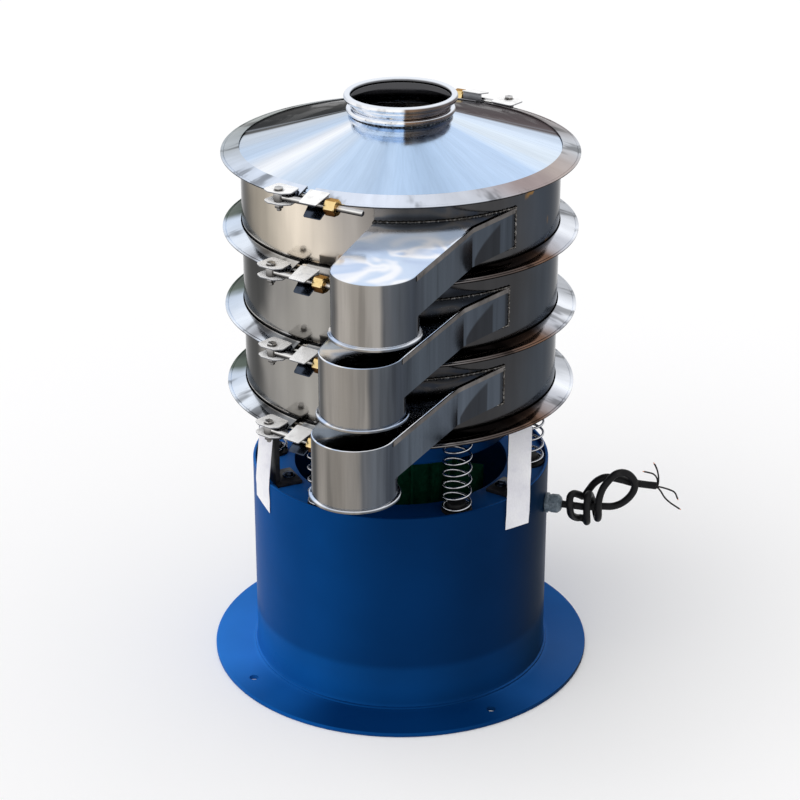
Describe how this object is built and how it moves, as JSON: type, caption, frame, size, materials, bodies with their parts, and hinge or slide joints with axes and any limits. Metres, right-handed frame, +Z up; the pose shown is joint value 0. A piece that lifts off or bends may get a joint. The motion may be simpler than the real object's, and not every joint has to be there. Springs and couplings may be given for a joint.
{
  "type": "vibrating sieve",
  "caption": "Round vibrating sieve: painted base, spring-borne stack of stainless frames with side spouts, conical lid, clamp rings and a vertical motor",
  "frame": {"origin": "the middle of the base plate's underside, on the floor", "axes": "+Z up along the frames' common axis, -Y the side that the picture is taken from, +X to its right, towards the cable gland"},
  "size_m": [0.6201, 0.6571, 0.7739],
  "materials": {
    "painted_blue": "gloss",
    "polished_steel": "polished",
    "spring_steel": "satin",
    "zinc_steel": "satin",
    "cast_steel": "rough",
    "brass": "satin",
    "black_paint": "satin",
    "black_rubber": "matte",
    "green_paint": "satin",
    "tag_paper": "matte",
    "gland_grey": "matte",
    "core_black": "matte"
  },
  "bodies": {
    "base": {"base_shell": "painted_blue", "spring_plate": "painted_blue", "isolation_spring_1": "spring_steel", "isolation_spring_2": "spring_steel", "isolation_spring_3": "spring_steel", "isolation_spring_4": "spring_steel", "isolation_spring_5": "spring_steel", "isolation_spring_6": "spring_steel", "transport_bracket_1": "black_paint", "transport_bracket_2": "black_paint", "transport_bracket_3": "black_paint", "tag_left": "tag_paper", "tag_right": "tag_paper", "cable_gland": "gland_grey", "power_cord": "black_rubber", "cord_cores": "core_black"},
    "sieve_deck": {"vibrating_dish": "painted_blue", "motor_housing": "green_paint", "motor_end_shield": "green_paint", "motor_guard": "green_paint", "lower_bearing": "zinc_steel", "upper_bearing": "zinc_steel", "bottom_pan": "polished_steel", "lower_frame": "polished_steel", "middle_frame": "polished_steel", "upper_frame": "polished_steel", "lower_spout": "polished_steel", "middle_spout": "polished_steel", "upper_spout": "polished_steel", "lower_screen": "polished_steel", "upper_screen": "polished_steel", "lid": "polished_steel", "inlet_collar": "polished_steel", "clamp_ring_a_left": "polished_steel", "clamp_ring_a_right": "polished_steel", "clamp_ring_b_left": "polished_steel", "clamp_ring_b_right": "polished_steel", "clamp_ring_c_left": "polished_steel", "clamp_ring_c_right": "polished_steel", "clamp_ring_d_left": "polished_steel", "clamp_ring_d_right": "polished_steel"},
    "rotor": {"rotor_shaft": "zinc_steel", "upper_weight": "cast_steel"},
    "lower_weight_plate": {"lower_weight": "cast_steel"},
    "bolt_a_front": {"swing_bolt_a_front": "zinc_steel"},
    "nut_a_front": {"clamp_nut_a_front": "brass"},
    "bolt_a_rear": {"swing_bolt_a_rear": "zinc_steel"},
    "nut_a_rear": {"clamp_nut_a_rear": "brass"},
    "bolt_b_front": {"swing_bolt_b_front": "zinc_steel"},
    "nut_b_front": {"clamp_nut_b_front": "brass"},
    "bolt_b_rear": {"swing_bolt_b_rear": "zinc_steel"},
    "nut_b_rear": {"clamp_nut_b_rear": "brass"},
    "bolt_c_front": {"swing_bolt_c_front": "zinc_steel"},
    "nut_c_front": {"clamp_nut_c_front": "brass"},
    "bolt_c_rear": {"swing_bolt_c_rear": "zinc_steel"},
    "nut_c_rear": {"clamp_nut_c_rear": "brass"},
    "bolt_d_front": {"swing_bolt_d_front": "zinc_steel"},
    "nut_d_front": {"clamp_nut_d_front": "brass"},
    "bolt_d_rear": {"swing_bolt_d_rear": "zinc_steel"},
    "nut_d_rear": {"clamp_nut_d_rear": "brass"}
  },
  "joints": [
    {"name": "deck_bounce", "type": "slide", "parent": "base", "child": "sieve_deck", "axis": [0, 0, 1], "range_m": [-0.003, 0.003], "stiffness_N_per_m": 48000, "springref_m": 0.01212, "deforming": ["isolation_spring_1", "isolation_spring_2", "isolation_spring_3", "isolation_spring_4", "isolation_spring_5", "isolation_spring_6"]},
    {"name": "rotor_spin", "type": "hinge", "parent": "sieve_deck", "child": "rotor", "pos_m": [0, 0, 0.23], "axis": [0, 0, 1], "continuous": true},
    {"name": "lower_weight_lead", "type": "hinge", "parent": "rotor", "child": "lower_weight_plate", "pos_m": [0, 0, 0.096], "axis": [0, 0, 1], "range_deg": [-35, 55]},
    {"name": "bolt_swing_a_front", "type": "hinge", "parent": "sieve_deck", "child": "bolt_a_front", "pos_m": [-0.14265, -0.18383, 0.7017], "axis": [0, 0, -1], "range_deg": [0, 100]},
    {"name": "nut_travel_a_front", "type": "slide", "parent": "bolt_a_front", "child": "nut_a_front", "axis": [0.8581, -0.5135, 0], "range_m": [0, 0.03]},
    {"name": "bolt_swing_a_rear", "type": "hinge", "parent": "sieve_deck", "child": "bolt_a_rear", "pos_m": [0.14265, 0.18383, 0.7017], "axis": [0, 0, -1], "range_deg": [0, 100]},
    {"name": "nut_travel_a_rear", "type": "slide", "parent": "bolt_a_rear", "child": "nut_a_rear", "axis": [-0.8581, 0.5135, 0], "range_m": [0, 0.03]},
    {"name": "bolt_swing_b_front", "type": "hinge", "parent": "sieve_deck", "child": "bolt_b_front", "pos_m": [-0.15452, -0.17397, 0.6044], "axis": [0, 0, -1], "range_deg": [0, 100]},
    {"name": "nut_travel_b_front", "type": "slide", "parent": "bolt_b_front", "child": "nut_b_front", "axis": [0.8221, -0.5693, 0], "range_m": [0, 0.03]},
    {"name": "bolt_swing_b_rear", "type": "hinge", "parent": "sieve_deck", "child": "bolt_b_rear", "pos_m": [0.15452, 0.17397, 0.6044], "axis": [0, 0, -1], "range_deg": [0, 100]},
    {"name": "nut_travel_b_rear", "type": "slide", "parent": "bolt_b_rear", "child": "nut_b_rear", "axis": [-0.8221, 0.5693, 0], "range_m": [0, 0.03]},
    {"name": "bolt_swing_c_front", "type": "hinge", "parent": "sieve_deck", "child": "bolt_c_front", "pos_m": [-0.15573, -0.17289, 0.5001], "axis": [0, 0, -1], "range_deg": [0, 100]},
    {"name": "nut_travel_c_front", "type": "slide", "parent": "bolt_c_front", "child": "nut_c_front", "axis": [0.8181, -0.575, 0], "range_m": [0, 0.03]},
    {"name": "bolt_swing_c_rear", "type": "hinge", "parent": "sieve_deck", "child": "bolt_c_rear", "pos_m": [0.15573, 0.17289, 0.5001], "axis": [0, 0, -1], "range_deg": [0, 100]},
    {"name": "nut_travel_c_rear", "type": "slide", "parent": "bolt_c_rear", "child": "nut_c_rear", "axis": [-0.8181, 0.575, 0], "range_m": [0, 0.03]},
    {"name": "bolt_swing_d_front", "type": "hinge", "parent": "sieve_deck", "child": "bolt_d_front", "pos_m": [-0.16284, -0.16622, 0.3931], "axis": [0, 0, -1], "range_deg": [0, 100]},
    {"name": "nut_travel_d_front", "type": "slide", "parent": "bolt_d_front", "child": "nut_d_front", "axis": [0.7934, -0.6088, 0], "range_m": [0, 0.03]},
    {"name": "bolt_swing_d_rear", "type": "hinge", "parent": "sieve_deck", "child": "bolt_d_rear", "pos_m": [0.16284, 0.16622, 0.3931], "axis": [0, 0, -1], "range_deg": [0, 100]},
    {"name": "nut_travel_d_rear", "type": "slide", "parent": "bolt_d_rear", "child": "nut_d_rear", "axis": [-0.7934, 0.6088, 0], "range_m": [0, 0.03]}
  ]
}
